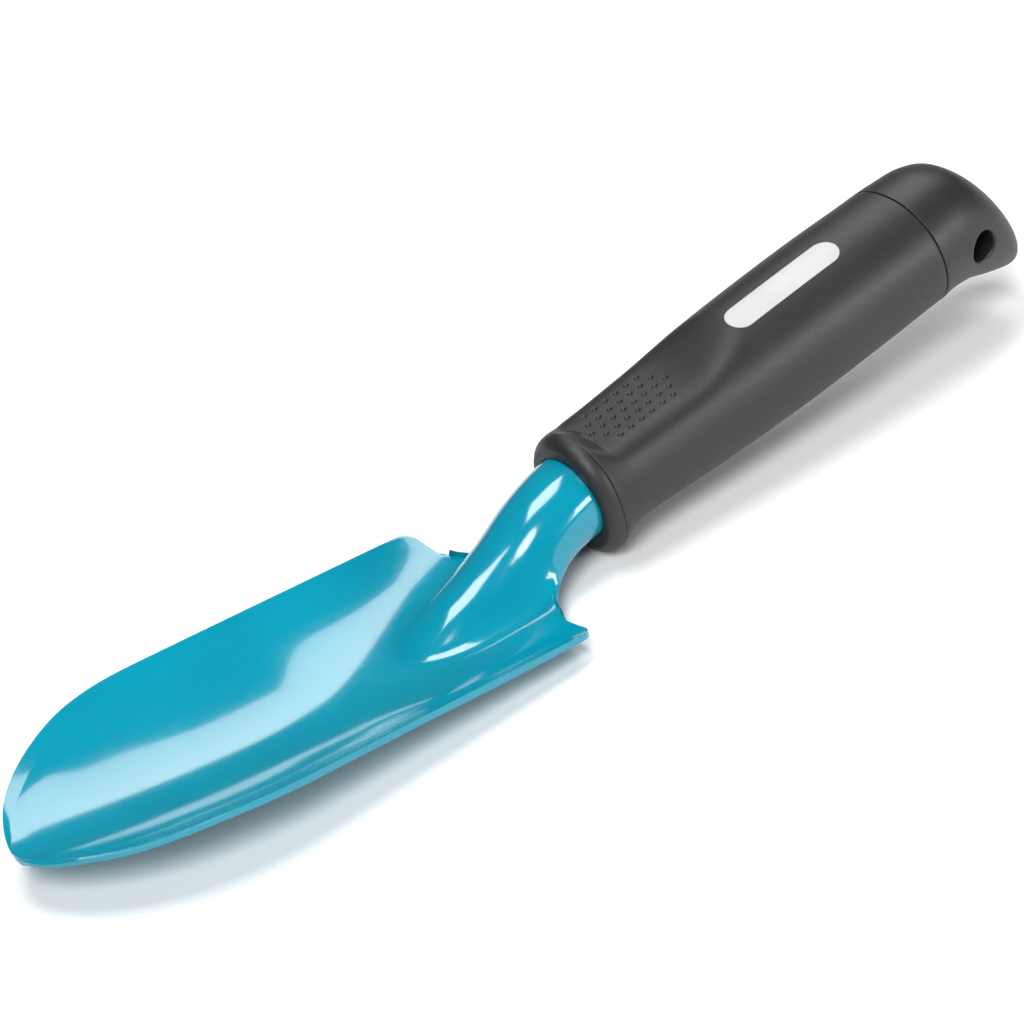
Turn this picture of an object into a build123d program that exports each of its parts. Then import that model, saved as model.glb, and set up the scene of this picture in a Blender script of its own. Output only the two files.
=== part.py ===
"""Hand trowel: pressed steel blade with a rolled tang, moulded grip with a thumb rest, hooked end cap.

Millimetres, +Z up. The tool lies as it rests on a bench, on the belly of the blade and the foot of
the collar: tip towards -X, hanging end towards +X, hollow of the blade upwards. The origin is on
the bench under the middle of the tool's length. Sizes named *_D are distances in front of the
collar face, sizes named *_X are distances behind it, heights *_Z are measured from the grip axis.
"""
from math import acos, cos, exp, pi, radians, sin, sqrt
import os

from build123d import *

os.makedirs("parts", exist_ok=True)

# ---- overall sizes ----
BLADE_REACH = 189.0        # tip to front face of the collar
HANDLE_LENGTH = 166.0      # front face of the collar to the rear of the cap
BLADE_WIDTH = 79.6         # across the rims, the working width
REST_TILT = 6.34           # grip axis above the bench plane, degrees
COLLAR_HEIGHT = 21.4       # grip axis above the bench at the collar face
HALF = BLADE_WIDTH / 2.0

# ---- blade, one piece of sheet ----
SHEET = 1.8                # coated sheet thickness
REAR_D = 29.5              # rear edge of the blade
FLOOR_Z = -12.6            # inside floor of the scoop
FLOOR_FLAT_D = 45.0        # the floor is level up to here, then climbs to the tip
FLOOR_POWER = 1.93
TIP_Z = 15.0               # inside of the sheet at the tip
RIM_REAR_Z = -9.5          # rims at the rear corners
RIM_SLOPE = 0.222          # climb of the rims towards the tip
RIM_TOP_Z = 16.9           # the rims level out here
SIDE_POWER_FRONT = 2.1     # scoop cross-section in front: close to a parabola
SIDE_FRONT_D = 95.0        # reached here
SIDE_POWER_REAR = 5.0      # at the rear: flat with turned-up rims
TAPER_D = 120.0            # the sides are parallel up to here, then close to the tip
TAPER_POWER = 2.3
TIP_POWER = 0.62           # below 1 rounds the tip, 0.5 would be an ellipse
CORNER_R = 4.5             # plan radius of the two rear corners
TIP_BLEND = 8.0            # the side curve stops changing this close to the tip
MARGIN = 3.0               # sheet drawn this far past the trimmed outline

# ---- neck and tang ----
NECK_R = 12.6              # outside radius of the rolled neck
NECK_Z = -1.9              # neck centre at the collar
NECK_TOP = NECK_Z + NECK_R
RIDGE_D = 73.0             # the ridge grows out of the floor here
CROWN = ((0.0, NECK_TOP), (8.0, NECK_TOP - 1.3), (17.0, NECK_TOP - 4.0), (27.0, NECK_TOP - 8.5),
         (38.0, -1.8), (50.0, -5.0), (60.0, -9.0), (67.0, -12.1),
         (RIDGE_D, FLOOR_Z))   # top of neck and ridge, from the grip axis
CROWN_R = 12.0             # crown radius of the ridge
ROOT_R = 12.0              # fillet between ridge and floor
WALL_ANGLE = radians(81)   # steepest side of the ridge
SLIT_HALF = 3.0            # half gap of the open seam under the tang
WEB_Y = HALF - 12.3       # the rear edge turns up into the neck here
ROLL = ((6.0, 0.0), (12.5, 0.04), (17.3, 0.17), (20.3, 0.31), (23.5, 0.50),
        (27.6, 0.79), (REAR_D, 1.0))   # share of the flat flank left as the neck rolls up
ROLL_TOP = 0.74            # share of the rolled tang made from the ridge, the rest from the flanks
TANG_LENGTH = 46.0         # tang inside the grip

# ---- handle ----
COLLAR_DEPTH = 4.6         # collar face to the parting line behind the collar
CAP_LENGTH = 36.7
SEAM_X = HANDLE_LENGTH - CAP_LENGTH   # parting line between grip and end cap
SEAM_GAP = 0.35            # open gap at both parting lines
# grip sections: distance behind the collar face, half width, half height, centre height
GRIP = ((COLLAR_DEPTH, 16.6, 19.2, -2.8), (8.0, 16.8, 17.8, -1.5), (12.0, 17.1, 17.0, -0.7),
        (20.0, 17.3, 17.0, -0.6), (32.0, 18.0, 17.5, -0.8), (0.39 * SEAM_X, 19.0, 18.3, -1.0),
        (0.58 * SEAM_X, 19.9, 18.9, -1.1), (0.79 * SEAM_X, 20.2, 18.9, -1.1),
        (SEAM_X, 20.0, 18.4, -1.3))
# cap sections: the top falls away, the underside drops into the heel
CAP = ((SEAM_X, 20.0, 18.4, -1.3), (HANDLE_LENGTH - 30.0, 19.5, 18.2, -1.3),
       (HANDLE_LENGTH - 22.0, 18.7, 18.7, -2.3), (HANDLE_LENGTH - 15.0, 17.6, 18.7, -5.2),
       (HANDLE_LENGTH - 9.0, 16.1, 16.4, -9.7), (HANDLE_LENGTH - 4.5, 13.7, 12.6, -14.6),
       (HANDLE_LENGTH - 1.4, 9.6, 7.2, -18.8), (HANDLE_LENGTH, 4.0, 2.6, -20.4))
HEEL_Z = CAP[-1][3] - CAP[-1][2]      # lowest point of the rear end
LIP = ((0.0, 14.3, 16.4, -2.5), (1.3, 15.7, 18.2, -2.7), (3.0, 16.4, 19.0, -2.8),
       (COLLAR_DEPTH, 16.5, 19.1, -2.8))   # collar sections

OVAL_POWER = 2.12          # 2 is an ellipse, larger is squarer
RING_POINTS = 12
SECTION_STEP = 6.0         # spacing of the drawn handle sections

TANG_CLEAR = 0.15          # tang in the grip and collar bores, per side
CORE_CLEAR = 0.15          # core in the tang and in the grip bore, per side
GRIP_BORE_R = NECK_R + TANG_CLEAR
CORE_R = GRIP_BORE_R - CORE_CLEAR
SPIGOT_R = NECK_R - SHEET - CORE_CLEAR
COLLAR_SPIGOT_R = GRIP_BORE_R + 2.25   # collar tube that sits in the front of the grip
COLLAR_SPIGOT_LENGTH = 6.0
COLLAR_FIT = 0.1
CAP_BOSS_LENGTH = 14.0     # cap boss inside the grip bore
CAP_STEM_LENGTH = 20.0     # slimmer stem beyond the boss, inside the core
CAP_FIT = 0.1
CORE_GAP = 3.3             # cap boss to the rear end of the core
CORE_END_X = SEAM_X - CAP_BOSS_LENGTH - CORE_GAP
CORE_BORE_R = 8.0
CORE_BORE_LENGTH = 2.6 * CAP_STEM_LENGTH

PIN_R = 2.0                # cross pins through tang and core
PIN_FIT = 0.05
PIN_RECESS = 0.3           # pin ends below the outside of the tang
PIN_CHAMFER = 0.4
PIN_XS = (14.0, TANG_LENGTH - 10.0)
SPIGOT_LEAD = 8.0          # core spigot ahead of the front pin

# ---- thumb rest on top of the grip ----
PAD_WALL = 1.05            # moulding left between its floor and the bore
PAD_Z = NECK_Z + GRIP_BORE_R + PAD_WALL
PAD_LEAD_X = 3.0           # front slope starts here, above the surface
PAD_LEAD_Z = 17.5
PAD_FRONT_X = 9.5
PAD_STEP = 0.8             # small step down at the front
PAD_LEVEL_X = 35.0         # the floor is level up to here
PAD_END_X = 46.0
PAD_END_RISE = 1.4         # its rise by then
PAD_RUNOUT_X = 62.0        # it has blended back into the grip here
PAD_RUNOUT_Z = 18.6
PAD_RUNOUT_SLOPE = 0.42
PAD_TOP_Z = 30.0           # the cut is open above the grip
PAD_CENTRE_X = 26.6        # middle of the dimple field
DIMPLE_R = 0.85
DIMPLE_DEPTH = 0.45
DIMPLE_PITCH = 4.0         # along a row
DIMPLE_ROW_PITCH = 3.86    # between rows
DIMPLE_ROWS = (6, 7, 8, 7, 6)

# ---- inlaid badge and hanging hole ----
BADGE_START_X = PAD_RUNOUT_X + 1.0
BADGE_END_X = SEAM_X - 24.3
BADGE_WIDTH = 9.0
BADGE_TURN = 15.0          # round from the top towards -Y, degrees
BADGE_LEVEL = 21.5         # plane clear of the grip surface from which the pocket is sunk
BADGE_FLOOR = 15.5         # flat bottom of the pocket, from the grip axis
BADGE_PROUD = 0.12
BADGE_FIT = 0.1
HOLE_X = HANDLE_LENGTH - 19.8
HOLE_Z = -5.8
HOLE_R = 4.8
HOLE_ROUND = 0.8

OUTSIDE = 25.0             # beyond the handle on either side, where cuts start
BELOW = 60.0               # beyond the blade above and below
TIP_STEPS = 12
RIDGE_STEPS = 18           # points across the sheet: half the ridge,
SIDE_STEPS = 12            # and from there to the rim
BLADE_STEP = 5.0           # spacing of the drawn sheet sections: blade,
RIDGE_STEP = 3.0           # ridge,
ROLL_STEP = 1.2            # and the turn from ridge into neck
LIP_STEP = 1.2             # spacing of the drawn collar sections

tilt = radians(REST_TILT)
# collar face behind the middle of the tool's length
COLLAR_SHIFT = ((BLADE_REACH - HANDLE_LENGTH) * cos(tilt) + (TIP_Z + HEEL_Z) * sin(tilt)) / 2.0
AXIS = Vector(cos(tilt), 0, sin(tilt))
UP = Vector(-sin(tilt), 0, cos(tilt))
HOME = Vector(COLLAR_SHIFT, 0, COLLAR_HEIGHT)


def at(x, y=0.0, z=0.0):
    """Point x behind the collar face, y across, z above the grip axis."""
    return HOME + AXIS * x + Vector(0, y, 0) + UP * z


def across(x):
    """Plane square to the grip axis; sketches on it are (y, z)."""
    return Plane(origin=at(x), x_dir=(0, 1, 0), z_dir=AXIS)


def alongside(y):
    """Plane beside the tool, facing -Y; sketches on it are (x, z)."""
    return Plane(origin=at(0, y), x_dir=AXIS, z_dir=(0, -1, 0))


def over(z):
    """Plane parallel to the grip axis, facing up; sketches on it are (x, y)."""
    return Plane(origin=at(0, 0, z), x_dir=AXIS, z_dir=UP)


def smooth(a, b, x):
    """0 below a, 1 above b, smooth in between."""
    t = min(1.0, max(0.0, (x - a) / (b - a)))
    return t * t * (3.0 - 2.0 * t)


def floor_height(d):
    t = max(0.0, d - FLOOR_FLAT_D) / (BLADE_REACH - FLOOR_FLAT_D)
    return FLOOR_Z + (TIP_Z - FLOOR_Z) * t ** FLOOR_POWER


def rim_height(d):
    below = RIM_TOP_Z - RIM_REAR_Z - RIM_SLOPE * (d - REAR_D)
    return RIM_TOP_Z - 0.5 * (below + sqrt(below * below + 4.0))


def half_width(d):
    t = min(1.0, max(0.0, (d - TAPER_D) / (BLADE_REACH - TAPER_D)))
    return HALF * (1.0 - t ** TAPER_POWER) ** TIP_POWER


def side_height(d, y):
    """Height of the scoop above its floor, without the ridge."""
    power = SIDE_POWER_REAR + (SIDE_POWER_FRONT - SIDE_POWER_REAR) * smooth(REAR_D, SIDE_FRONT_D, d)
    past = d - BLADE_REACH + TIP_BLEND
    reach = d - 0.5 * (past + sqrt(past * past + TIP_BLEND))
    depth = rim_height(reach) - floor_height(reach)
    edge = half_width(reach) + MARGIN
    if y <= edge:
        return depth * (y / half_width(reach)) ** power
    top = depth * (edge / half_width(reach)) ** power
    return top + power * top / edge * MARGIN * (1.0 - exp(-(y - edge) / MARGIN))


def follow(knots, x):
    """Smooth curve through the knots, level past both ends."""
    xs = [k[0] for k in knots]
    ys = [k[1] for k in knots]
    if x <= xs[0]:
        return ys[0]
    if x >= xs[-1]:
        return ys[-1]
    i = max(n for n in range(len(xs) - 1) if xs[n] <= x)
    slope = [0.0] * len(xs)
    for n in range(1, len(xs) - 1):
        slope[n] = (ys[n + 1] - ys[n - 1]) / (xs[n + 1] - xs[n - 1])
    h = xs[i + 1] - xs[i]
    t = (x - xs[i]) / h
    return (ys[i] * (1 + 2 * t) * (1 - t) ** 2 + h * slope[i] * t * (1 - t) ** 2
            + ys[i + 1] * t * t * (3 - 2 * t) - h * slope[i + 1] * t * t * (1 - t))


def crown_height(d):
    return follow(CROWN, d)


def bell(d, s):
    """Ridge section as (y, z) above the floor at share s of its length: crown, wall, root fillet."""
    rise = max(1e-4, crown_height(d) - floor_height(d))
    angle = min(WALL_ANGLE, acos(max(-1.0, 1.0 - rise / (CROWN_R + ROOT_R))))
    wall = max(0.0, rise - (CROWN_R + ROOT_R) * (1.0 - cos(angle))) / sin(WALL_ANGLE)
    run = s * ((CROWN_R + ROOT_R) * angle + wall)
    if run <= CROWN_R * angle:
        a = run / CROWN_R
        return CROWN_R * sin(a), rise - CROWN_R * (1.0 - cos(a))
    run -= CROWN_R * angle
    y = CROWN_R * sin(angle)
    z = rise - CROWN_R * (1.0 - cos(angle))
    if run <= wall:
        return y + run * cos(angle), z - run * sin(angle)
    a = angle - (run - wall) / ROOT_R
    return (y + wall * cos(angle) + ROOT_R * (sin(angle) - sin(a)),
            ROOT_R * (1.0 - cos(a)))


def flared(d, edge):
    """Half section of blade and ridge, from the centre out to the edge."""
    base = bell(d, 1.0)[0]
    spread = max(1.0, CROWN_R / base)
    points = []
    for i in range(RIDGE_STEPS + 1):
        y, z = bell(d, i / RIDGE_STEPS)
        if spread > 1.0:
            y = y * spread
            z = bell_at(d, y)
        points.append((y, z))
    start = points[-1][0]
    for i in range(1, SIDE_STEPS + 1):
        points.append((start + (edge - start) * i / SIDE_STEPS, 0.0))
    return [(y, floor_height(d) + side_height(d, y) + z) for y, z in points]


def bell_at(d, y):
    """Ridge height at y where the ridge is low: two tangent arcs."""
    rise = max(1e-4, crown_height(d) - floor_height(d))
    angle = acos(1.0 - rise / (CROWN_R + ROOT_R))
    crown = CROWN_R * sin(angle)
    foot = (CROWN_R + ROOT_R) * sin(angle)
    if y >= foot:
        return 0.0
    if y <= crown:
        return rise - CROWN_R + sqrt(CROWN_R ** 2 - y * y)
    return ROOT_R - sqrt(ROOT_R ** 2 - (foot - y) ** 2)


def rolled(d):
    """Half section of the rolled neck."""
    centre = crown_height(d) - NECK_R
    close = pi - SLIT_HALF / NECK_R
    turns = [ROLL_TOP * close * i / RIDGE_STEPS for i in range(RIDGE_STEPS + 1)]
    turns += [close * (ROLL_TOP + (1.0 - ROLL_TOP) * i / SIDE_STEPS)
              for i in range(1, SIDE_STEPS + 1)]
    low = NECK_Z - NECK_R
    points = []
    for a in turns:
        z = centre + NECK_R * cos(a)
        if a > pi / 2:
            z = centre + (centre - low) * cos(a)
        points.append((NECK_R * sin(a), z))
    return points


def section(d, edge):
    keep = follow(ROLL, d)
    if keep >= 1.0:
        return flared(d, edge)
    if keep <= 0.0:
        return rolled(d)
    return [(a * keep + b * (1.0 - keep), c * keep + e * (1.0 - keep))
            for (a, c), (b, e) in zip(flared(d, edge), rolled(d))]


def sheet_row(d, edge):
    """Points across the upper face of the sheet at one station, as (x, y, z) off the collar."""
    reach = min(d, BLADE_REACH)
    lift = floor_height(d) - floor_height(reach)
    half = [(y, z + lift) for y, z in section(reach, edge)]
    return ([Vector(-d, -y, z) for y, z in reversed(half[1:])]
            + [Vector(-d, y, z) for y, z in half])


def under_row(d, edge):
    """The same row on the lower face, one sheet thickness away, in the same cross plane."""
    row = sheet_row(d, edge)
    ahead = sheet_row(d + 0.1, edge)
    behind = sheet_row(d - 0.1, edge)
    out = []
    for j, p in enumerate(row):
        along = ahead[j] - behind[j]
        sideways = row[min(len(row) - 1, j + 1)] - row[max(0, j - 1)]
        n = along.cross(sideways).normalized()
        out.append(p + Vector(0, n.Y, n.Z) * (SHEET / max(0.3, n.Y ** 2 + n.Z ** 2)))
    return out


def spaced(start, stop, step):
    """Even steps from start to stop, both ends included."""
    count = max(1, round(abs(stop - start) / step))
    return [start + (stop - start) * i / count for i in range(count + 1)]


def skin(rows):
    grid = [[at(p.X, p.Y, p.Z) for p in row] for row in rows]
    return Face.make_surface_from_array_of_points(grid, tol=0.01, min_deg=1, max_deg=3)


def sheet_body(distances, edge):
    """Sheet metal between the two faces drawn through the stations."""
    upper = skin([sheet_row(d, edge) for d in distances])
    lower = skin([under_row(d, edge) for d in distances])
    sides = []
    for rim in upper.edges():
        match = lower.edges().sort_by_distance(rim.center())[0]
        sides.append(Face.make_surface_from_curves(rim, match))
    return Solid(Shell([upper, lower] + sides))


def tip_outline():
    """Plan outline from the tip to where the sides become parallel, as (x, y)."""
    share = [1.0 - (i / TIP_STEPS) ** 2 for i in range(TIP_STEPS + 1)]
    steps = [TAPER_D + (BLADE_REACH - TAPER_D) * t for t in share]
    return [(-d, half_width(d)) for d in steps]


def ring(half_w, half_h, centre):
    """Closed oval as (y, z), a little squarer than an ellipse, starting underneath."""
    points = []
    for i in range(RING_POINTS):
        a = 2.0 * pi * i / RING_POINTS
        c = sin(a)
        s = -cos(a)
        reach = (abs(c) ** OVAL_POWER + abs(s) ** OVAL_POWER) ** (-1.0 / OVAL_POWER)
        points.append((half_w * reach * c, centre + half_h * reach * s))
    return points


def sized(knots, x):
    """Half width, half height and centre height at x, read off the knots."""
    return [follow([(k[0], k[n]) for k in knots], x) for n in (1, 2, 3)]


blade_stations = (spaced(BLADE_REACH + MARGIN, RIDGE_D, BLADE_STEP)[:-1]
                  + spaced(RIDGE_D, REAR_D, RIDGE_STEP))
neck_stations = (spaced(REAR_D + ROLL_STEP, ROLL[0][0], ROLL_STEP)[:-1]
                 + spaced(ROLL[0][0], -TANG_LENGTH, SECTION_STEP))
neck_sheet = split(sheet_body(neck_stations, WEB_Y), bisect_by=across(-REAR_D), keep=Keep.TOP)

# Blade: pressed sheet trimmed to its plan outline, neck and open rolled tang in the same sheet.
with BuildPart() as blade:
    with BuildSketch(over(-BELOW)):
        with BuildLine():
            Spline(*tip_outline(), tangents=[(0.25, 1), (1, 0)])
            Line((-TAPER_D, HALF), (-REAR_D - CORNER_R, HALF))
            RadiusArc((-REAR_D - CORNER_R, HALF), (-REAR_D, HALF - CORNER_R), CORNER_R)
            Line((-REAR_D, HALF - CORNER_R), (-REAR_D, 0))
            Line((-REAR_D, 0), (-BLADE_REACH, 0))
        make_face()
        mirror(about=Plane.XZ)
    extrude(amount=2.0 * BELOW)
    add(sheet_body(blade_stations, HALF + MARGIN), mode=Mode.INTERSECT)
    add(neck_sheet)
    for pin_x in PIN_XS:
        with BuildSketch(alongside(-OUTSIDE)):
            with Locations((pin_x, NECK_Z)):
                Circle(PIN_R + PIN_FIT)
        extrude(amount=-2.0 * OUTSIDE, mode=Mode.SUBTRACT)
blade.part.label = "blade"

badge_turn = radians(BADGE_TURN)
badge_out = UP * cos(badge_turn) + Vector(0, -sin(badge_turn), 0)
badge_plane = Plane(origin=at((BADGE_START_X + BADGE_END_X) / 2.0) + badge_out * BADGE_LEVEL,
                    x_dir=AXIS, z_dir=badge_out)

# Collar: front ring with a rounded lip and a short tube that plugs into the grip.
with BuildPart() as collar:
    for x in spaced(0.0, COLLAR_DEPTH, LIP_STEP):
        with BuildSketch(across(x)):
            with BuildLine():
                Spline(*ring(*sized(LIP, x)), periodic=True)
            make_face()
    loft()
    with BuildSketch(across(COLLAR_DEPTH)):
        with Locations((0, NECK_Z)):
            Circle(COLLAR_SPIGOT_R)
    extrude(amount=COLLAR_SPIGOT_LENGTH)
    with BuildSketch(across(0.0)):
        with Locations((0, NECK_Z)):
            Circle(GRIP_BORE_R)
    extrude(amount=COLLAR_DEPTH + COLLAR_SPIGOT_LENGTH, mode=Mode.SUBTRACT)
collar.part.label = "collar"

# Grip: moulded body with the thumb rest, the badge pocket and a bore from end to end.
with BuildPart() as grip:
    for x in spaced(COLLAR_DEPTH + SEAM_GAP, SEAM_X, SECTION_STEP):
        with BuildSketch(across(x)):
            with BuildLine():
                Spline(*ring(*sized(GRIP, x)), periodic=True)
            make_face()
    loft()
    with BuildSketch(alongside(-OUTSIDE)):
        with BuildLine():
            Polyline((PAD_LEAD_X, PAD_LEAD_Z), (PAD_FRONT_X, PAD_Z + PAD_STEP),
                     (PAD_FRONT_X + PAD_STEP, PAD_Z), (PAD_LEVEL_X, PAD_Z))
            Spline((PAD_LEVEL_X, PAD_Z), (PAD_END_X, PAD_Z + PAD_END_RISE),
                   (PAD_RUNOUT_X, PAD_RUNOUT_Z), tangents=[(1, 0), (1, PAD_RUNOUT_SLOPE)])
            Polyline((PAD_RUNOUT_X, PAD_RUNOUT_Z), (PAD_RUNOUT_X, PAD_TOP_Z),
                     (PAD_LEAD_X, PAD_TOP_Z), (PAD_LEAD_X, PAD_LEAD_Z))
        make_face()
    extrude(amount=-2.0 * OUTSIDE, mode=Mode.SUBTRACT)
    for row, count in enumerate(DIMPLE_ROWS):
        row_y = (row - (len(DIMPLE_ROWS) - 1) / 2.0) * DIMPLE_ROW_PITCH
        for n in range(count):
            x = PAD_CENTRE_X + (n - (count - 1) / 2.0) * DIMPLE_PITCH
            with Locations(at(x, row_y, PAD_Z - DIMPLE_DEPTH + DIMPLE_R)):
                Sphere(DIMPLE_R, mode=Mode.SUBTRACT)
    with BuildSketch(across(0.0)):
        with Locations((0, NECK_Z)):
            Circle(GRIP_BORE_R)
    extrude(amount=SEAM_X, mode=Mode.SUBTRACT)
    with BuildSketch(across(0.0)):
        with Locations((0, NECK_Z)):
            Circle(COLLAR_SPIGOT_R + COLLAR_FIT)
    extrude(amount=COLLAR_DEPTH + COLLAR_SPIGOT_LENGTH + COLLAR_FIT, mode=Mode.SUBTRACT)
    with BuildSketch(badge_plane):
        SlotOverall(BADGE_END_X - BADGE_START_X + 2.0 * BADGE_FIT, BADGE_WIDTH + 2.0 * BADGE_FIT)
    extrude(amount=BADGE_FLOOR - BADGE_LEVEL, mode=Mode.SUBTRACT)
grip.part.label = "grip"

# Badge: thin plain capsule let into its pocket, following the curve of the grip.
with BuildPart() as badge:
    for x in spaced(COLLAR_DEPTH + SEAM_GAP, SEAM_X, SECTION_STEP):
        half_w, half_h, centre = sized(GRIP, x)
        with BuildSketch(across(x)):
            with BuildLine():
                Spline(*ring(half_w + BADGE_PROUD, half_h + BADGE_PROUD, centre), periodic=True)
            make_face()
    loft()
    with BuildSketch(badge_plane):
        SlotOverall(BADGE_END_X - BADGE_START_X, BADGE_WIDTH)
    extrude(amount=BADGE_FLOOR + BADGE_FIT - BADGE_LEVEL, mode=Mode.INTERSECT)
badge.part.label = "badge"

# Core: hard moulding. Its spigot fills the tang, its body fills the grip bore and its rear takes
# the stem of the cap.
with BuildPart() as core:
    with BuildSketch(across(PIN_XS[0] - SPIGOT_LEAD)):
        with Locations((0, NECK_Z)):
            Circle(SPIGOT_R)
    extrude(amount=CORE_END_X - PIN_XS[0] + SPIGOT_LEAD)
    with BuildSketch(across(TANG_LENGTH + CORE_CLEAR)):
        with Locations((0, NECK_Z)):
            Circle(CORE_R)
    extrude(amount=CORE_END_X - TANG_LENGTH - CORE_CLEAR)
    with BuildSketch(across(CORE_END_X)):
        with Locations((0, NECK_Z)):
            Circle(CORE_BORE_R)
    extrude(amount=-CORE_BORE_LENGTH, mode=Mode.SUBTRACT)
    for pin_x in PIN_XS:
        with BuildSketch(alongside(-OUTSIDE)):
            with Locations((pin_x, NECK_Z)):
                Circle(PIN_R + PIN_FIT)
        extrude(amount=-2.0 * OUTSIDE, mode=Mode.SUBTRACT)
core.part.label = "core"

# Cross pins: two plain pins through tang and core, hidden by the grip.
with BuildPart() as tang_pins:
    for pin_x in PIN_XS:
        with BuildSketch(alongside(-NECK_R + PIN_RECESS)):
            with Locations((pin_x, NECK_Z)):
                Circle(PIN_R)
        extrude(amount=-2.0 * (NECK_R - PIN_RECESS))
    chamfer(tang_pins.edges().filter_by(GeomType.CIRCLE), length=PIN_CHAMFER)
tang_pins.part.label = "tang_pins"


def is_hole_mouth(edge):
    """The edge runs round one mouth of the hanging hole."""
    off = edge.bounding_box().center() - at(HOLE_X, 0, HOLE_Z)
    return abs(off.Y) > HOLE_R and abs(off.dot(AXIS)) + abs(off.dot(UP)) < HOLE_R / 2.0


# End cap: domed, with a heel that drops below the grip and a hanging hole from side to side.
with BuildPart() as end_cap:
    for x in spaced(SEAM_X + SEAM_GAP, HANDLE_LENGTH, SECTION_STEP / 2.0):
        with BuildSketch(across(x)):
            with BuildLine():
                Spline(*ring(*sized(CAP, x)), periodic=True)
            make_face()
    loft()
    with BuildSketch(across(SEAM_X + SEAM_GAP)):
        with Locations((0, NECK_Z)):
            Circle(GRIP_BORE_R - CAP_FIT)
    extrude(amount=-CAP_BOSS_LENGTH)
    with BuildSketch(across(SEAM_X + SEAM_GAP)):
        with Locations((0, NECK_Z)):
            Circle(CORE_BORE_R - CAP_FIT)
    extrude(amount=-CAP_BOSS_LENGTH - CAP_STEM_LENGTH)
    with BuildSketch(alongside(-OUTSIDE)):
        with Locations((HOLE_X, HOLE_Z)):
            Circle(HOLE_R)
    extrude(amount=-2.0 * OUTSIDE, mode=Mode.SUBTRACT)
    fillet(end_cap.edges().filter_by(is_hole_mouth), radius=HOLE_ROUND)
end_cap.part.label = "end_cap"

export_step(blade.part, "parts/blade.step")
export_step(collar.part, "parts/collar.step")
export_step(grip.part, "parts/grip.step")
export_step(badge.part, "parts/badge.step")
export_step(core.part, "parts/core.step")
export_step(tang_pins.part, "parts/tang_pins.step")
export_step(end_cap.part, "parts/end_cap.step")
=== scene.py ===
"""Hand trowel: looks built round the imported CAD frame. Metres, +Z up, tip towards -X."""

from math import acos, cos, pi, radians, sin, sqrt

import bpy
from mathutils import Matrix, Vector


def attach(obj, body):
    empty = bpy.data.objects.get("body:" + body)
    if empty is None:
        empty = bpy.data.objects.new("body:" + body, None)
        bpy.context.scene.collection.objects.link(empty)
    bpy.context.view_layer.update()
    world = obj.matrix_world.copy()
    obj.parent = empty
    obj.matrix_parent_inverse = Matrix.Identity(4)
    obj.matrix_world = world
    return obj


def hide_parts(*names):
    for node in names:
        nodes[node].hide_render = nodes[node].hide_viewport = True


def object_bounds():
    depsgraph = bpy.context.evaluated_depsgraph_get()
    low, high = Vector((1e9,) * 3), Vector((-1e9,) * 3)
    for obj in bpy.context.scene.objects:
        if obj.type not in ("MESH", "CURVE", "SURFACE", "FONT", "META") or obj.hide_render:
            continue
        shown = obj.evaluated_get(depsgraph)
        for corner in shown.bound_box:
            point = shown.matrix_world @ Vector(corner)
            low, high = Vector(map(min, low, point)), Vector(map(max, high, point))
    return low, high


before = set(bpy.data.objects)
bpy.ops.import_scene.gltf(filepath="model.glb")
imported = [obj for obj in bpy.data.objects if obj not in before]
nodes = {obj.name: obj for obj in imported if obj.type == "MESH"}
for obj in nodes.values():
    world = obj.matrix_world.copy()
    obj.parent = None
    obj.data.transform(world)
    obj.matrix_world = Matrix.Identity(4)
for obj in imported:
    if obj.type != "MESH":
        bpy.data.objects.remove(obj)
cad_low, cad_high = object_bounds()

MM = 0.001

# ---- blade shape, millimetres: distances d in front of the collar face, heights from the grip axis ----
BLADE_REACH = 189.0
HALF = 39.8
REST_TILT = radians(6.34)
HOME = Vector((10.988, 0.0, 21.4))
SHEET = 1.8
REAR_D = 29.5
FLOOR_Z = -12.6
FLOOR_FLAT_D = 45.0
FLOOR_POWER = 1.93
TIP_Z = 15.0
RIM_REAR_Z = -9.5
RIM_SLOPE = 0.222
RIM_TOP_Z = 16.9
SIDE_POWER_FRONT = 2.1
SIDE_FRONT_D = 95.0
SIDE_POWER_REAR = 5.0
TAPER_D = 120.0
TAPER_POWER = 2.3
TIP_POWER = 0.62
TIP_BLEND = 8.0
CORNER_R = 4.5
RIDGE_D = 73.0
NECK_R = 12.6
NECK_Z = -1.9
NECK_TOP = NECK_Z + NECK_R
CROWN = ((0.0, NECK_TOP), (8.0, NECK_TOP - 1.3), (17.0, NECK_TOP - 4.0), (27.0, NECK_TOP - 8.5),
         (38.0, -1.8), (50.0, -5.0), (60.0, -9.0), (67.0, -12.1), (RIDGE_D, FLOOR_Z))
CROWN_R = 12.0
ROOT_R = 12.0
WALL_ANGLE = radians(81)
SLIT_HALF = 3.0
WEB_Y = 27.5
ROLL = ((6.0, 0.0), (12.5, 0.04), (17.3, 0.17), (20.3, 0.31), (23.5, 0.50),
        (27.6, 0.79), (REAR_D, 1.0))
ROLL_TOP = 0.74
TANG_LENGTH = 46.0

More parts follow.
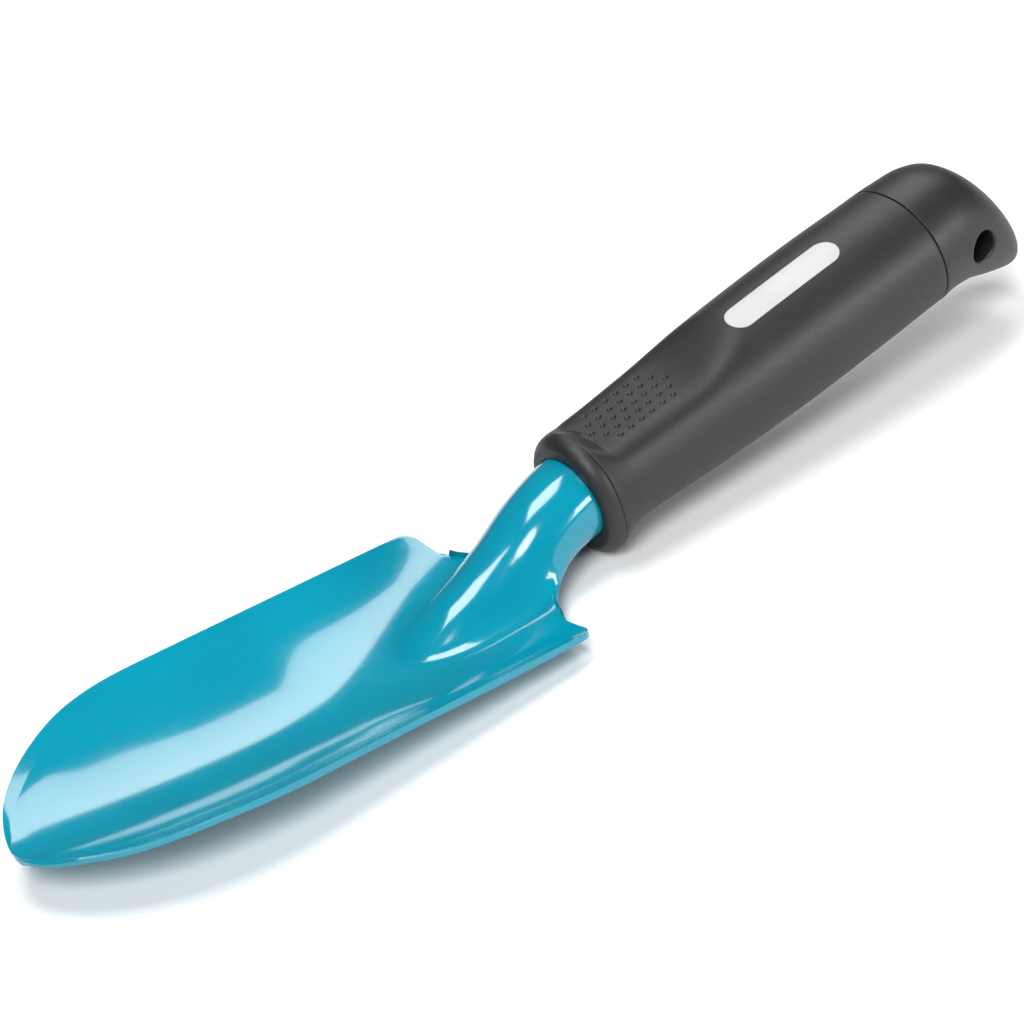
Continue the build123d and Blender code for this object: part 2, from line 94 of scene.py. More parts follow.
RIDGE_STEPS = 24
SIDE_STEPS = 16
RIM_STEPS = 8
FACET_STEPS = 3            # of the rim columns, the outer ones lie on the ground facet
FACET_WIDTH = 3.4          # ground facet along the inner rim at the tip
FACET_DROP = 0.75          # metal it takes off at the edge
FACET_FROM_D = 128.0       # it fades in from here
FACET_FULL_D = 162.0
PLAIN_RIM = 2.0            # width of the outer columns where there is no facet
EDGE_ROUND = 0.45
TIP_CUT = 0.04             # the mesh stops this short of the point of the outline
TIP_ROWS = 46
CORNER_ROWS = 8
SIDE_SPACING = 2.0         # distance between rows along the parallel sides
RIDGE_SPACING = 1.5
WEB_SPACING = 0.8
TANG_SPACING = 4.0
RIM_SOFT = 4.0             # how gently the climbing rim turns level
RELAX_ROUNDS = 60          # rounds of smoothing where the web turns up into the neck
RELAX_D = (4.0, 12.0, 31.0, 46.0)   # it fades in and out between these stations
RELAX_COLUMNS = (8.0, 20.0, 36.0, 42.0)   # and between these columns, counted from the middle
RELAX_STEP = 0.5           # share of the way that a point moves in one round
STRAIGHT_FROM = 0.55       # shares of the half width between which the thickness
STRAIGHT_FULL = 0.95       # turns from square to the sheet to straight down
BORDER_BLEND = 5.0         # the neck takes over the corner's normal within this distance


def place(x, y, z):
    """Frame position in metres of the point x behind the collar face, z above the grip axis."""
    return MM * (HOME + Vector((x * cos(REST_TILT) - z * sin(REST_TILT), y,
                                x * sin(REST_TILT) + z * cos(REST_TILT))))


def smooth(a, b, x):
    """0 up to a, 1 from b on, with a smooth rise between."""
    t = min(1.0, max(0.0, (x - a) / (b - a)))
    return t * t * (3.0 - 2.0 * t)


def window(limits, x):
    """Rises from 0 to 1 between the first two limits and falls back between the last two."""
    return smooth(limits[0], limits[1], x) * (1.0 - smooth(limits[2], limits[3], x))


def spaced(start, stop, step):
    """Even values from start to stop, about one step apart."""
    count = max(1, round(abs(stop - start) / step))
    return [start + (stop - start) * i / count for i in range(count + 1)]


def floor_height(d):
    """Inside floor of the scoop."""
    t = max(0.0, d - FLOOR_FLAT_D) / (BLADE_REACH - FLOOR_FLAT_D)
    return FLOOR_Z + (TIP_Z - FLOOR_Z) * t ** FLOOR_POWER


def rim_height(d):
    """Height of the rims, climbing from the rear and then level."""
    below = RIM_TOP_Z - RIM_REAR_Z - RIM_SLOPE * (d - REAR_D)
    return RIM_TOP_Z - 0.5 * (below + sqrt(below * below + RIM_SOFT))


def half_width(d):
    """Half width of the blade in plan, before the rear corners are rounded."""
    t = min(1.0, max(0.0, (d - TAPER_D) / (BLADE_REACH - TAPER_D)))
    return HALF * (1.0 - t ** TAPER_POWER) ** TIP_POWER


def outline(d):
    """Half width of the blade in plan, rear corners rounded."""
    inside = REAR_D + CORNER_R - d
    if inside <= 0.0:
        return half_width(d)
    return HALF - CORNER_R + sqrt(max(0.0, CORNER_R ** 2 - inside ** 2))


def side_height(d, y):
    """Rise of the turned-up sides above the floor."""
    power = SIDE_POWER_REAR + (SIDE_POWER_FRONT - SIDE_POWER_REAR) * smooth(REAR_D, SIDE_FRONT_D, d)
    past = d - BLADE_REACH + TIP_BLEND
    reach = d - 0.5 * (past + sqrt(past * past + TIP_BLEND))
    return (rim_height(reach) - floor_height(reach)) * (y / half_width(reach)) ** power


def follow(knots, x):
    """Smooth curve through the knots, level past both ends."""
    xs = [k[0] for k in knots]
    ys = [k[1] for k in knots]
    if x <= xs[0]:
        return ys[0]
    if x >= xs[-1]:
        return ys[-1]
    i = max(n for n in range(len(xs) - 1) if xs[n] <= x)
    slope = [0.0] * len(xs)
    for n in range(1, len(xs) - 1):
        slope[n] = (ys[n + 1] - ys[n - 1]) / (xs[n + 1] - xs[n - 1])
    h = xs[i + 1] - xs[i]
    t = (x - xs[i]) / h
    return (ys[i] * (1 + 2 * t) * (1 - t) ** 2 + h * slope[i] * t * (1 - t) ** 2
            + ys[i + 1] * t * t * (3 - 2 * t) - h * slope[i + 1] * t * t * (1 - t))


def ridge_rise(d):
    """Height of the ridge's crown above the floor."""
    return max(1e-4, follow(CROWN, d) - floor_height(d))


def bell(d, s):
    """Ridge section as (y, z) above the floor at share s of its length: crown, wall, root fillet."""
    rise = ridge_rise(d)
    angle = min(WALL_ANGLE, acos(max(-1.0, 1.0 - rise / (CROWN_R + ROOT_R))))
    wall = max(0.0, rise - (CROWN_R + ROOT_R) * (1.0 - cos(angle))) / sin(WALL_ANGLE)
    run = s * ((CROWN_R + ROOT_R) * angle + wall)
    if run <= CROWN_R * angle:
        a = run / CROWN_R
        return CROWN_R * sin(a), rise - CROWN_R * (1.0 - cos(a))
    run -= CROWN_R * angle
    y = CROWN_R * sin(angle)
    z = rise - CROWN_R * (1.0 - cos(angle))
    if run <= wall:
        return y + run * cos(angle), z - run * sin(angle)
    a = angle - (run - wall) / ROOT_R
    return y + wall * cos(angle) + ROOT_R * (sin(angle) - sin(a)), ROOT_R * (1.0 - cos(a))


def bell_at(d, y):
    """Ridge height at y where the ridge is low: two tangent arcs."""
    rise = ridge_rise(d)
    angle = acos(1.0 - rise / (CROWN_R + ROOT_R))
    crown = CROWN_R * sin(angle)
    foot = (CROWN_R + ROOT_R) * sin(angle)
    if y >= foot:
        return 0.0
    if y <= crown:
        return rise - CROWN_R + sqrt(CROWN_R ** 2 - y * y)
    return ROOT_R - sqrt(ROOT_R ** 2 - (foot - y) ** 2)


def flared(d, edge):
    """Half section of blade and ridge, from the centre out to the edge."""
    base = bell(d, 1.0)[0]
    spread = max(1.0, CROWN_R / base)
    points = []
    for i in range(RIDGE_STEPS + 1):
        y, z = bell(d, i / RIDGE_STEPS)
        if spread > 1.0:
            y = y * spread
            z = bell_at(d, y)
        points.append((y, z))
    start = points[-1][0]
    for i in range(1, SIDE_STEPS + 1):
        points.append((start + (edge - start) * i / SIDE_STEPS, 0.0))
    return [(y, floor_height(d) + side_height(d, y) + z) for y, z in points]


def rolled(d):
    """Half section of the rolled neck."""
    centre = follow(CROWN, d) - NECK_R
    close = pi - SLIT_HALF / NECK_R
    turns = [ROLL_TOP * close * i / RIDGE_STEPS for i in range(RIDGE_STEPS + 1)]
    turns += [close * (ROLL_TOP + (1.0 - ROLL_TOP) * i / SIDE_STEPS)
              for i in range(1, SIDE_STEPS + 1)]
    points = []
    for a in turns:
        z = centre + NECK_R * cos(a)
        if a > pi / 2:
            z = centre + (centre - NECK_Z + NECK_R) * cos(a)
        points.append((NECK_R * sin(a), z))
    return points


def neck_row(d):
    """Half section between the flat web and the rolled neck."""
    keep = follow(ROLL, d)
    return [(a * keep + b * (1.0 - keep), c * keep + e * (1.0 - keep))
            for (a, c), (b, e) in zip(flared(d, WEB_Y), rolled(d))]


def facet_cut(d, y):
    """How far the ground facet lowers the inner face at this distance from the rim."""
    width = FACET_WIDTH * smooth(FACET_FROM_D, FACET_FULL_D, d)
    if width <= 0.0:
        return 0.0
    return FACET_DROP * width / FACET_WIDTH * max(0.0, 1.0 - (outline(d) - y) / width)


def blade_row(d):
    """Half section of the blade with the rim columns gathered towards the edge."""
    rim = outline(d)
    near = max(d, REAR_D)
    if near < RIDGE_D:
        row = flared(near, WEB_Y)
    else:
        scale = rim / HALF
        ys = [p[0] * scale for p in flared(RIDGE_D, WEB_Y)]
        row = [(y, floor_height(d) + side_height(d, y)) for y in ys]
    start = row[-1][0]
    facet = FACET_WIDTH * smooth(FACET_FROM_D, FACET_FULL_D, d)
    width = min(0.5 * (rim - start), max(PLAIN_RIM, facet))
    bend = rim - width
    inner = RIM_STEPS - FACET_STEPS
    ys = [start + (bend - start) * i / inner for i in range(1, inner + 1)]
    ys += [bend + width * i / FACET_STEPS for i in range(1, FACET_STEPS + 1)]
    for y in ys:
        row.append((y, floor_height(d) + side_height(d, y) - facet_cut(d, y)))
    return row


def both_sides(d, half):
    """Full section from a half section, as points from one rim to the other."""
    return ([Vector((-d, -y, z)) for y, z in reversed(half[1:])]
            + [Vector((-d, y, z)) for y, z in half])


def grid_normals(rows):
    """Unit normals of a grid of points, facing up where the grid is level."""
    out = []
    for i, row in enumerate(rows):
        line = []
        for j in range(len(row)):
            along = rows[min(len(rows) - 1, i + 1)][j] - rows[max(0, i - 1)][j]
            sideways = row[min(len(row) - 1, j + 1)] - row[max(0, j - 1)]
            line.append(along.cross(sideways).normalized())
        out.append(line)
    return out


def open_normal(d, y):
    """Unit normal of the open sheet outside the ridge, at half-plan position (d, y)."""
    step, side = 0.05, abs(y)
    along = (floor_height(d + step) + side_height(d + step, side)
             - floor_height(d - step) - side_height(d - step, side)) / (2.0 * step)
    across = (side_height(d, side + step) - side_height(d, side - step)) / (2.0 * step)
    return Vector((along, -across if y > 0.0 else across, 1.0)).normalized()


def under(p, n, rim):
    """Point one sheet thickness below p; out at the rim it is straight below, as the edge is cut."""
    scale = SHEET / max(0.3, n.y ** 2 + n.z ** 2)
    y, z = p.y - scale * n.y, p.z - scale * n.z
    if rim is not None:
        share = smooth(STRAIGHT_FROM, STRAIGHT_FULL, abs(p.y) / rim)
        y += (p.y - y) * share
        z += (p.z - SHEET / max(0.4, n.z) - z) * share
    return p.x, y, z


def tip_stations():
    """Stations from the tip back to the parallel sides, closer together at the tip."""
    first = BLADE_REACH - TIP_CUT
    return [first - (first - TAPER_D) * (i / TIP_ROWS) ** 2 for i in range(TIP_ROWS + 1)]


def relax(wide, slim, blade_ds, neck_ds, first):
    """Evens out the turn from blade to neck along its length, leaving the outline where it is."""
    columns = len(wide[0])
    rows = wide + [[None] * first + row + [None] * first for row in slim]
    ds = list(blade_ds) + list(neck_ds)
    shares = [window(RELAX_D, d) for d in ds]
    middle = columns // 2
    for _ in range(RELAX_ROUNDS):
        before = [[p.copy() if p else None for p in row] for row in rows]
        for i in range(1, len(rows) - 1):
            for j in range(columns):
                off = abs(j - middle)
                share = RELAX_STEP * shares[i] * window(RELAX_COLUMNS, off)
                if share <= 0.0 or rows[i][j] is None or before[i + 1][j] is None:
                    continue
                span = ds[i - 1] - ds[i + 1]
                t = (ds[i - 1] - ds[i]) / span
                mean = before[i - 1][j] * (1.0 - t) + before[i + 1][j] * t
                rows[i][j].z += (mean.z - before[i][j].z) * share
                if off < middle - first:
                    rows[i][j].y += (mean.y - before[i][j].y) * share


def build_blade():
    """One sheet as two skins joined along every edge, with rounded edges."""
    corner = [REAR_D + CORNER_R * (1.0 - cos(pi / 2 * i / CORNER_ROWS))
              for i in range(CORNER_ROWS, -1, -1)]
    blade_ds = (tip_stations()[:-1] + spaced(TAPER_D, RIDGE_D, SIDE_SPACING)[:-1]
                + spaced(RIDGE_D, REAR_D + CORNER_R, RIDGE_SPACING)[:-1] + corner)
    neck_ds = (spaced(REAR_D, ROLL[0][0], WEB_SPACING)[1:]
               + spaced(ROLL[0][0], -TANG_LENGTH, TANG_SPACING)[1:])
    wide = [both_sides(d, blade_row(d)) for d in blade_ds]
    slim = [both_sides(d, neck_row(d)) for d in neck_ds]
    columns = len(wide[0])
    first = RIM_STEPS                      # column where the neck rows start
    relax(wide, slim, blade_ds, neck_ds, first)
    # normals are taken on the sheet without its facet
    plain = [[p.copy() for p in row] for row in wide]
    for d, row in zip(blade_ds, plain):
        for p in row:
            p.z += facet_cut(d, abs(p.y))
    joint = [row[first:columns - first] for row in plain] + slim
    joint_normals = grid_normals(joint)
    slim_normals = joint_normals[len(plain):]
    wide_normals = grid_normals(plain)
    for j in range(first, columns - first):
        wide_normals[-1][j] = joint_normals[len(plain) - 1][j - first]
    borders = [j for j in range(columns) if j <= first or j >= columns - first - 1]
    for i, row in enumerate(plain):
        for j in borders:
            wide_normals[i][j] = open_normal(blade_ds[i], row[j].y)
    for i, d in enumerate(neck_ds):
        share = smooth(REAR_D - BORDER_BLEND, REAR_D, d)
        for j, k in ((0, first), (-1, columns - first - 1)):
            blended = wide_normals[-1][k] * share + slim_normals[i][j] * (1.0 - share)
            slim_normals[i][j] = blended.normalized()
    verts, upper, lower = [], {}, {}
    for i, row in enumerate(wide):
        for j, p in enumerate(row):
            upper[i, j] = len(verts)
            verts.append(place(p.x, p.y, p.z))
            lower[i, j] = len(verts)
            verts.append(place(*under(plain[i][j], wide_normals[i][j], outline(blade_ds[i]))))
    base = len(wide)
    for i, row in enumerate(slim):
        for j, p in enumerate(row):
            upper[base + i, j + first] = len(verts)
            verts.append(place(p.x, p.y, p.z))
            lower[base + i, j + first] = len(verts)
            verts.append(place(*under(p, slim_normals[i][j], None)))
    faces = []
    for i, j in sorted(upper):
        quad = [(i, j), (i, j + 1), (i + 1, j + 1), (i + 1, j)]
        if all(k in upper for k in quad):
            faces.append([upper[k] for k in quad])
            faces.append([lower[k] for k in reversed(quad)])
    # close every open border between the two skins
    count = {}
    for face in faces[0::2]:
        for a, b in zip(face, face[1:] + face[:1]):
            count[a, b] = count.get((a, b), 0) + 1
    partner = {upper[k]: lower[k] for k in upper}
    for a, b in sorted(count):
        if (b, a) not in count:
            faces.append([b, a, partner[a], partner[b]])
    mesh = bpy.data.meshes.new("blade_sheet")
    mesh.from_pydata([tuple(v) for v in verts], [], faces)
    mesh.validate()
    mesh.shade_smooth()
    piece = bpy.data.objects.new("blade_sheet", mesh)
    bpy.context.scene.collection.objects.link(piece)
    bevel = piece.modifiers.new("edge_round", "BEVEL")
    bevel.width = EDGE_ROUND * MM
    bevel.segments = 3
    bevel.limit_method = "ANGLE"
    bevel.angle_limit = radians(40)
    return piece


# ---- grip shape, millimetres behind the collar face ----
COLLAR_DEPTH = 4.6
SEAM_X = 129.3
FRONT_GAP = 0.12           # crease between collar and grip
GRIP = ((COLLAR_DEPTH, 16.6, 19.2, -2.8), (8.0, 16.8, 17.8, -1.5), (12.0, 17.1, 17.0, -0.7),
        (20.0, 17.3, 17.0, -0.6), (32.0, 18.0, 17.5, -0.8), (0.39 * SEAM_X, 19.0, 18.3, -1.0),
        (0.58 * SEAM_X, 19.9, 18.9, -1.1), (0.79 * SEAM_X, 20.2, 18.9, -1.1),
        (SEAM_X, 20.0, 18.4, -1.3))
OVAL_POWER = 2.12
GRIP_BORE_R = 12.75
PAD_Z = 11.9
PAD_FRONT_X = 9.5
PAD_STEP = 0.8
PAD_LEVEL_X = 35.0
PAD_RUNOUT_X = 62.0
PAD_SOFT = 3.6             # rounding of the shoulders beside the thumb rest
LEDGE_Y = (3.0, 7.5)       # the ledge at its front fades out between these distances off centre
PAD_CENTRE_X = 26.6
DIMPLE_R = 0.95
DIMPLE_DEPTH = 0.6
DIMPLE_PITCH = 4.0
DIMPLE_ROW_PITCH = 3.86
DIMPLE_ROWS = (6, 7, 8, 7, 6)
FINE_STEP = 0.33           # grid spacing over the dimples
COARSE_STEP = 1.5
END_ROUND = 0.3            # edges at the two parting lines
ROUND_STEPS = 4
FRONT_STEP = 0.5           # grid spacing ahead of the thumb rest
RUNOUT_STEP = 1.0
FIELD_X = (8.6, 45.0)      # the fine grid reaches over this length
RUNOUT_END_X = 64.0
FIELD_ANGLE = radians(52)  # and this far to either side of the top
FIELD_COLUMNS = 116
PLAIN_COLUMNS = 84
PAD_SLOPE = 0.95           # front slope of the thumb rest
PAD_SLOPE_EASE = 1.6       # distance over which it sets in
PAD_RISE = 6.7             # rise of the run-out
PAD_RISE_POWER = 2.1
DIMPLE_FLAT = 0.25         # level share of a dimple's radius


def pad_height(x, y):
    """Floor of the thumb rest: slope with a short ledge at the front, level, then a long run-out."""
    front = PAD_FRONT_X + PAD_STEP - x
    if front > 0.0:
        ledge = PAD_STEP * smooth(0.0, PAD_STEP, front) * (1.0 - smooth(*LEDGE_Y, abs(y)))
        return PAD_Z + ledge + PAD_SLOPE * front * front / (front + PAD_SLOPE_EASE)
    t = max(0.0, x - PAD_LEVEL_X) / (PAD_RUNOUT_X - PAD_LEVEL_X)
    return PAD_Z + PAD_RISE * t ** PAD_RISE_POWER


def soft_min(a, b, width):
    """The smaller of two heights, with the corner between them rounded."""
    h = max(0.0, width - abs(a - b)) / width
    return min(a, b) - h * h * width / 4.0


def dimple(x, y):
    """Depth at one point of the dimpled field."""
    rows = len(DIMPLE_ROWS)
    row = round(y / DIMPLE_ROW_PITCH + (rows - 1) / 2.0)
    if not 0 <= row < rows:
        return 0.0
    count = DIMPLE_ROWS[row]
    n = round((x - PAD_CENTRE_X) / DIMPLE_PITCH + (count - 1) / 2.0)
    if not 0 <= n < count:
        return 0.0
    dx = x - PAD_CENTRE_X - (n - (count - 1) / 2.0) * DIMPLE_PITCH
    dy = y - (row - (rows - 1) / 2.0) * DIMPLE_ROW_PITCH
    return DIMPLE_DEPTH * (1.0 - smooth(DIMPLE_FLAT, 1.0, sqrt(dx * dx + dy * dy) / DIMPLE_R))


def grip_ring(x, angles, inset=0.0):
    """Closed section as (y, z): the oval cut down softly to the thumb rest."""
    half_w, half_h, centre = (follow([(k[0], k[n]) for k in GRIP], x) - (inset if n < 3 else 0.0)
                              for n in (1, 2, 3))
    points = []
    for a in angles:
        c, s = sin(a), cos(a)
        reach = (abs(c) ** OVAL_POWER + abs(s) ** OVAL_POWER) ** (-1.0 / OVAL_POWER)
        y, z = half_w * reach * c, centre + half_h * reach * s
        if z > 0.0:
            floor = pad_height(x, y)
            if z > floor - PAD_SOFT:
                z = soft_min(z, floor, PAD_SOFT)
                z -= dimple(x, y)
        points.append((y, z))
    return points


def grip_angles():
    """Angles round the section from the top, closer together over the thumb rest."""
    fine = FIELD_ANGLE
    top = [-fine + 2.0 * fine * i / FIELD_COLUMNS for i in range(FIELD_COLUMNS + 1)]
    rest = [fine + (2.0 * pi - 2.0 * fine) * i / PLAIN_COLUMNS for i in range(1, PLAIN_COLUMNS)]
    return top + rest


def build_grip():
    """Moulded skin from parting line to parting line, its two ends turned in to the bore."""
    angles = grip_angles()
    start, stop = COLLAR_DEPTH + FRONT_GAP, SEAM_X
    xs = (spaced(start + END_ROUND, FIELD_X[0], FRONT_STEP)[:-1]
          + spaced(*FIELD_X, FINE_STEP)[:-1]
          + spaced(FIELD_X[1], RUNOUT_END_X, RUNOUT_STEP)[:-1]
          + spaced(RUNOUT_END_X, stop - END_ROUND, COARSE_STEP))
    bore = [(GRIP_BORE_R * sin(a), NECK_Z + GRIP_BORE_R * cos(a)) for a in angles]
    turns = [pi / 2 * i / ROUND_STEPS for i in range(ROUND_STEPS)]
    rings = [(start, bore)]
    for t in turns:
        inset = END_ROUND * (1.0 - sin(t))
        rings.append((start + END_ROUND * (1.0 - cos(t)), grip_ring(start + END_ROUND, angles, inset)))
    rings += [(x, grip_ring(x, angles)) for x in xs]
    for t in reversed(turns):
        inset = END_ROUND * (1.0 - sin(t))
        rings.append((stop - END_ROUND * (1.0 - cos(t)), grip_ring(stop - END_ROUND, angles, inset)))
    rings.append((stop, bore))
    verts, faces = [], []
    across = len(angles)
    for x, points in rings:
        verts += [tuple(place(x, y, z)) for y, z in points]
    for i in range(len(rings) - 1):
        for j in range(across):
            k = (j + 1) % across
            a, b = i * across, (i + 1) * across
            faces.append((a + j, a + k, b + k, b + j))
    last = len(rings) - 1
    for j in range(across):
        k = (j + 1) % across
        faces.append((last * across + j, last * across + k, k, j))
    mesh = bpy.data.meshes.new("grip_skin")
    mesh.from_pydata(verts, [], faces)
    mesh.validate()
    mesh.shade_smooth()
    piece = bpy.data.objects.new("grip_skin", mesh)
    bpy.context.scene.collection.objects.link(piece)
    return piece


# ---- materials ----
def shader(name):
    """New material; returns it with its node tree, Principled shader and object-space position."""
    mat = bpy.data.materials.new(name)
    mat.use_nodes = True
    tree = mat.node_tree
    bsdf = tree.nodes["Principled BSDF"]
    where = tree.nodes.new("ShaderNodeTexCoord").outputs["Object"]
    return mat, tree, bsdf, where


def noise(tree, where, scale, detail=3.0, rough=0.5):
    """Noise texture at this scale per metre; returns its value socket."""
    node = tree.nodes.new("ShaderNodeTexNoise")
    node.inputs["Scale"].default_value = scale
    node.inputs["Detail"].default_value = detail
    node.inputs["Roughness"].default_value = rough
    tree.links.new(where, node.inputs["Vector"])
    return node.outputs["Fac"]


def mapped(tree, value, low, high, out_low, out_high):
    """Socket with the value moved from one range to another."""
    node = tree.nodes.new("ShaderNodeMapRange")
    for name, number in (("From Min", low), ("From Max", high), ("To Min", out_low), ("To Max", out_high)):
        node.inputs[name].default_value = number
    tree.links.new(value, node.inputs["Value"])
    return node.outputs["Result"]


def mixed(tree, factor, dark, light):
    """Socket with a colour between dark and light."""
    node = tree.nodes.new("ShaderNodeMix")
    node.data_type = "RGBA"
    node.inputs[6].default_value = (*dark, 1.0)
    node.inputs[7].default_value = (*light, 1.0)
    tree.links.new(factor, node.inputs[0])
    return node.outputs[2]


def bumps(tree, bsdf, layers, edge=0.0):
    """Stacks bump layers of (height, strength, depth in metres) on an optional rounded edge."""
    last = None
    if edge:
        bevel = tree.nodes.new("ShaderNodeBevel")
        bevel.samples = 6
        bevel.inputs["Radius"].default_value = edge
        last = bevel.outputs["Normal"]
    for height, strength, depth in layers:
        bump = tree.nodes.new("ShaderNodeBump")
        bump.inputs["Strength"].default_value = strength
        bump.inputs["Distance"].default_value = depth
        tree.links.new(height, bump.inputs["Height"])
        if last:
            tree.links.new(last, bump.inputs["Normal"])
        last = bump.outputs["Normal"]
    tree.links.new(last, bsdf.inputs["Normal"])


def powder_coat():
    """Glossy turquoise coat on steel: nearly even colour, slight orange peel, uneven gloss."""
    mat, tree, bsdf, where = shader("powder_coat")
    cloud = noise(tree, where, 30.0, 2.0)
    tree.links.new(mixed(tree, mapped(tree, cloud, 0.3, 0.7, 0.0, 1.0),
                         (0.0, 0.225, 0.325), (0.0, 0.255, 0.36)), bsdf.inputs["Base Color"])
    fine = noise(tree, where, 420.0, 3.0)
    tree.links.new(mapped(tree, fine, 0.3, 0.75, 0.10, 0.16), bsdf.inputs["Roughness"])
    bsdf.inputs["Specular IOR Level"].default_value = 0.4
    bsdf.inputs["Coat Weight"].default_value = 0.4
    bsdf.inputs["Coat Roughness"].default_value = 0.05
    bsdf.inputs["IOR"].default_value = 1.55
    bumps(tree, bsdf, ((noise(tree, where, 650.0, 2.0), 0.06, 0.0001),))
    return mat


def moulded(name, dark, light, rough_low, rough_high, grain, depth, edge):
    """Moulded plastic with a fine grain and uneven gloss."""
    mat, tree, bsdf, where = shader(name)
    cloud = noise(tree, where, 45.0, 4.0, 0.6)
    tree.links.new(mixed(tree, mapped(tree, cloud, 0.3, 0.7, 0.0, 1.0), dark, light),
                   bsdf.inputs["Base Color"])
    speck = noise(tree, where, grain, 2.0, 0.6)
    tree.links.new(mapped(tree, speck, 0.3, 0.7, rough_low, rough_high), bsdf.inputs["Roughness"])
    bsdf.inputs["IOR"].default_value = 1.5
    bumps(tree, bsdf, ((noise(tree, where, grain * 0.35, 3.0, 0.6), 0.15, depth),
                       (speck, 0.35, depth)), edge)
    return mat


def steel():
    """Bright steel of the pins, with fine uneven tone and bumps."""
    mat, tree, bsdf, where = shader("pin_steel")
    bsdf.inputs["Metallic"].default_value = 1.0
    tone = noise(tree, where, 300.0, 2.0)
    tree.links.new(mixed(tree, tone, (0.42, 0.42, 0.43), (0.6, 0.6, 0.6)), bsdf.inputs["Base Color"])
    tree.links.new(mapped(tree, tone, 0.3, 0.7, 0.25, 0.4), bsdf.inputs["Roughness"])
    bumps(tree, bsdf, ((noise(tree, where, 1500.0, 1.0), 0.1, 0.00005),))
    return mat


def dress(node, mat):
    """Gives a CAD node this material alone."""
    nodes[node].data.materials.clear()
    nodes[node].data.materials.append(mat)


grip = build_grip()
grip_plastic = moulded("grip_plastic", (0.012, 0.012, 0.0125), (0.016, 0.016, 0.0165),
                       0.42, 0.56, 2600.0, 0.00006, 0.0)
grip.data.materials.append(grip_plastic)
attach(grip, "root")
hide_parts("grip")
dress("collar", moulded("collar_plastic", (0.011, 0.011, 0.0115), (0.015, 0.015, 0.0155),
                        0.42, 0.56, 2600.0, 0.00006, 0.0006))
dress("end_cap", moulded("cap_plastic", (0.011, 0.011, 0.0115), (0.015, 0.015, 0.0155),
                         0.40, 0.54, 2600.0, 0.00006, 0.0006))
dress("badge", moulded("badge_plastic", (0.44, 0.445, 0.45), (0.50, 0.505, 0.51),
                       0.34, 0.46, 3200.0, 0.00004, 0.0003))
dress("core", moulded("core_plastic", (0.02, 0.02, 0.021), (0.026, 0.026, 0.027),
                      0.25, 0.35, 1800.0, 0.00004, 0.0004))
dress("tang_pins", steel())

blade = build_blade()
blade.data.materials.append(powder_coat())
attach(blade, "root")
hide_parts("blade")


# ---- studio ----
FLOOR_REACH = 4.0
FLOOR_GAP = 0.0005
FILL = 0.09                # light that the surround adds
BACKDROP = 0.85            # how bright it looks behind the tool


def plane_light(name, centre, target, width, height, power):
    """Soft box at centre, facing the target."""
    data = bpy.data.lights.new(name, "AREA")
    data.shape = "RECTANGLE"
    data.size, data.size_y = width, height
    data.energy = power
    lamp = bpy.data.objects.new(name, data)
    lamp.location = centre
    lamp.rotation_mode = "QUATERNION"
    lamp.rotation_quaternion = (Vector(target) - Vector(centre)).to_track_quat("-Z", "Y")
    bpy.context.scene.collection.objects.link(lamp)


def lay_floor():
    """Pale paper floor just under the tool."""
    floor_mesh = bpy.data.meshes.new("floor")
    r = FLOOR_REACH
    floor_mesh.from_pydata([(-r, -r, 0), (r, -r, 0), (r, r, 0), (-r, r, 0)], [], [(0, 1, 2, 3)])
    floor = bpy.data.objects.new("floor", floor_mesh)
    floor.location.z = cad_low.z - FLOOR_GAP
    bpy.context.scene.collection.objects.link(floor)
    mat, tree, bsdf, where = shader("floor_paper")
    tree.links.new(mixed(tree, noise(tree, where, 400.0), (0.86, 0.86, 0.86), (0.88, 0.88, 0.88)),
                   bsdf.inputs["Base Color"])
    bsdf.inputs["Roughness"].default_value = 0.9
    bsdf.inputs["Specular IOR Level"].default_value = 0.1
    floor.data.materials.append(mat)


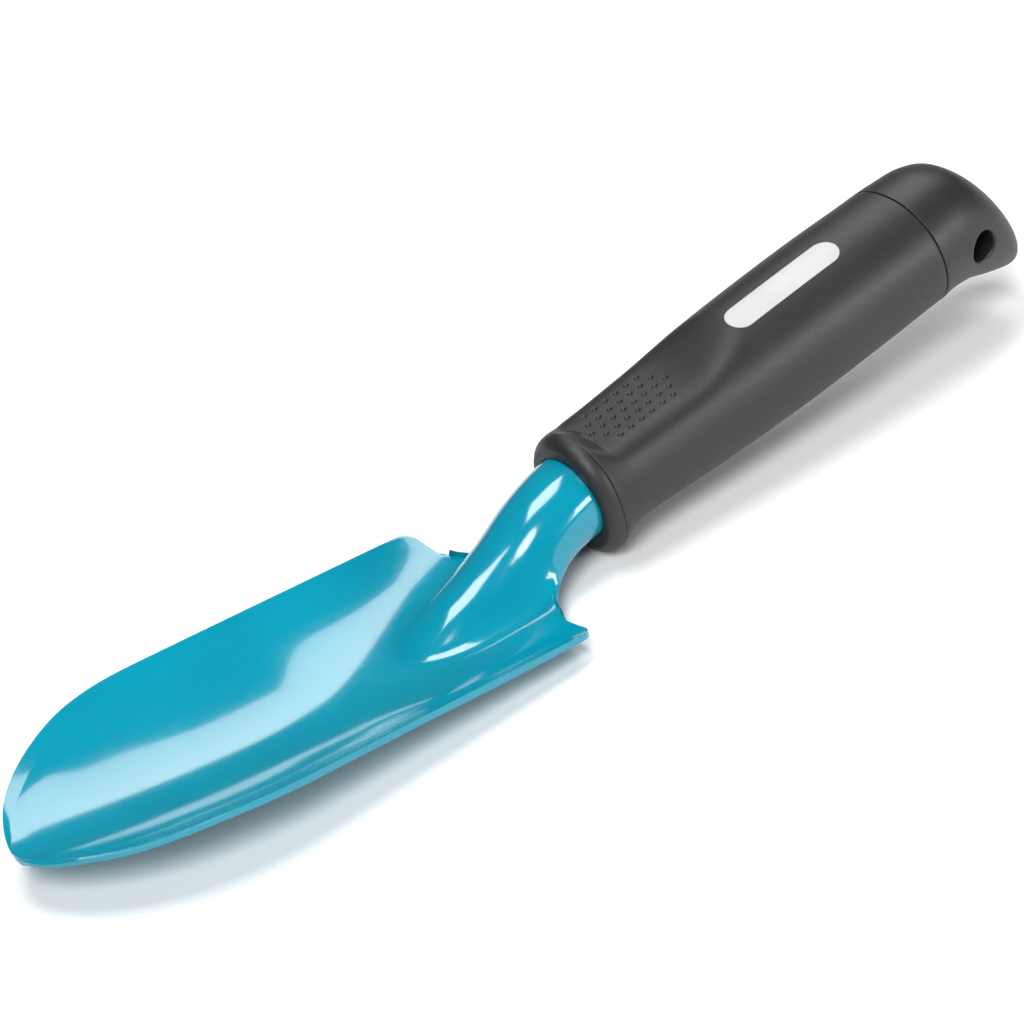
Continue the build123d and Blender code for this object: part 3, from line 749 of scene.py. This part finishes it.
def light_studio():
    """Soft boxes, a broad sun and a pale surround that adds little light of its own."""
    world = bpy.data.worlds.new("studio")
    world.use_nodes = True
    backdrop = world.node_tree.nodes["Background"]
    backdrop.inputs["Color"].default_value = (1.0, 1.0, 1.0, 1.0)
    seen = world.node_tree.nodes.new("ShaderNodeLightPath").outputs["Is Camera Ray"]
    world.node_tree.links.new(mapped(world.node_tree, seen, 0.0, 1.0, FILL, BACKDROP),
                              backdrop.inputs["Strength"])
    bpy.context.scene.world = world
    bpy.context.scene.view_settings.view_transform = "Standard"
    middle = (0.0, 0.0, 0.03)
    plane_light("top_back", (0.74, 0.60, 1.02), middle, 0.80, 0.46, 6.5)
    plane_light("front_left", (-1.0, -1.0, 1.5), middle, 0.55, 0.55, 6.0)
    plane_light("side_strip", (0.85, -1.45, 0.42), middle, 1.1, 0.34, 16.0)
    plane_light("overhead", (-0.17, 0.10, 1.3), middle, 0.5, 0.5, 9.0)
    sky = bpy.data.objects.new("soft_sun", bpy.data.lights.new("soft_sun", "SUN"))
    sky.data.energy = 2.0
    sky.data.angle = radians(25)
    sky.rotation_mode = "QUATERNION"
    sky.rotation_quaternion = Vector((1.0, 1.0, -1.5)).to_track_quat("-Z", "Y")
    bpy.context.scene.collection.objects.link(sky)


CAMERA_SPOT = Vector((-0.5676, -0.8320, 0.6641))
CAMERA_RIGHT = Vector((0.7452, -0.6460, -0.1653))
CAMERA_DOWN = Vector((-0.4607, -0.3194, -0.8281))
CAMERA_VIEW = Vector((0.4822, 0.6933, -0.5356))
FOCAL = 154.2
SHIFT = (-0.0559, -0.0190)


def aim_camera():
    """Camera at the spot and turn given by the three directions above."""
    data = bpy.data.cameras.new("camera")
    data.lens = FOCAL
    data.sensor_width = 36.0
    data.shift_x, data.shift_y = SHIFT
    data.clip_start, data.clip_end = 0.05, 20.0
    camera = bpy.data.objects.new("camera", data)
    turn = Matrix((CAMERA_RIGHT, -CAMERA_DOWN, -CAMERA_VIEW)).transposed()
    camera.matrix_world = Matrix.Translation(CAMERA_SPOT) @ turn.to_4x4()
    bpy.context.scene.collection.objects.link(camera)
    bpy.context.scene.camera = camera


lay_floor()
light_studio()
aim_camera()

bpy.context.view_layer.update()
